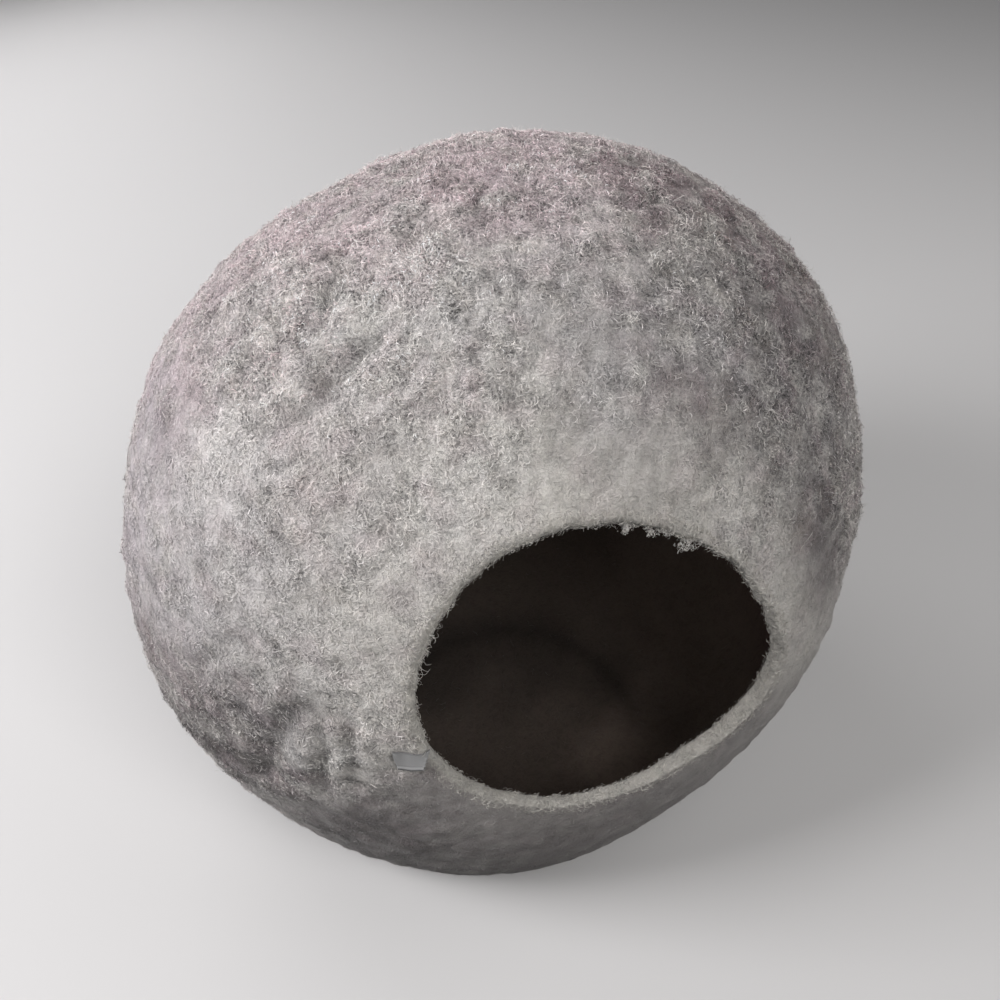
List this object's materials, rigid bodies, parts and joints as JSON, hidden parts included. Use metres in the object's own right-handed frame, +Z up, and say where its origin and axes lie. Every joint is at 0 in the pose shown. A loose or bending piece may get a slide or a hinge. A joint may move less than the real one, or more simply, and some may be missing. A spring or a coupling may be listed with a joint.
{
  "type": "felt cat cave",
  "caption": "Rounded wool felt cave for a cat, felted in one piece, with a flat base and an oval mouth in its front wall beside a small blank ribbon tab.",
  "frame": {"origin": "middle of the flat base, on the surface that the cave rests on", "axes": "+Z up, out of the flat base; the mouth faces -Y; the long side of the plan lies close to X"},
  "size_m": [0.4862, 0.4331, 0.4058],
  "materials": {
    "wool_felt": "matted wet-felted wool, light grey and cream with dusty pink and dark grey patches, fuzzy and dull",
    "ribbon": "thin grey woven ribbon, slightly shiny, blank"
  },
  "bodies": {
    "root": {"felt_shell": "wool_felt", "label": "ribbon"}
  },
  "joints": []
}
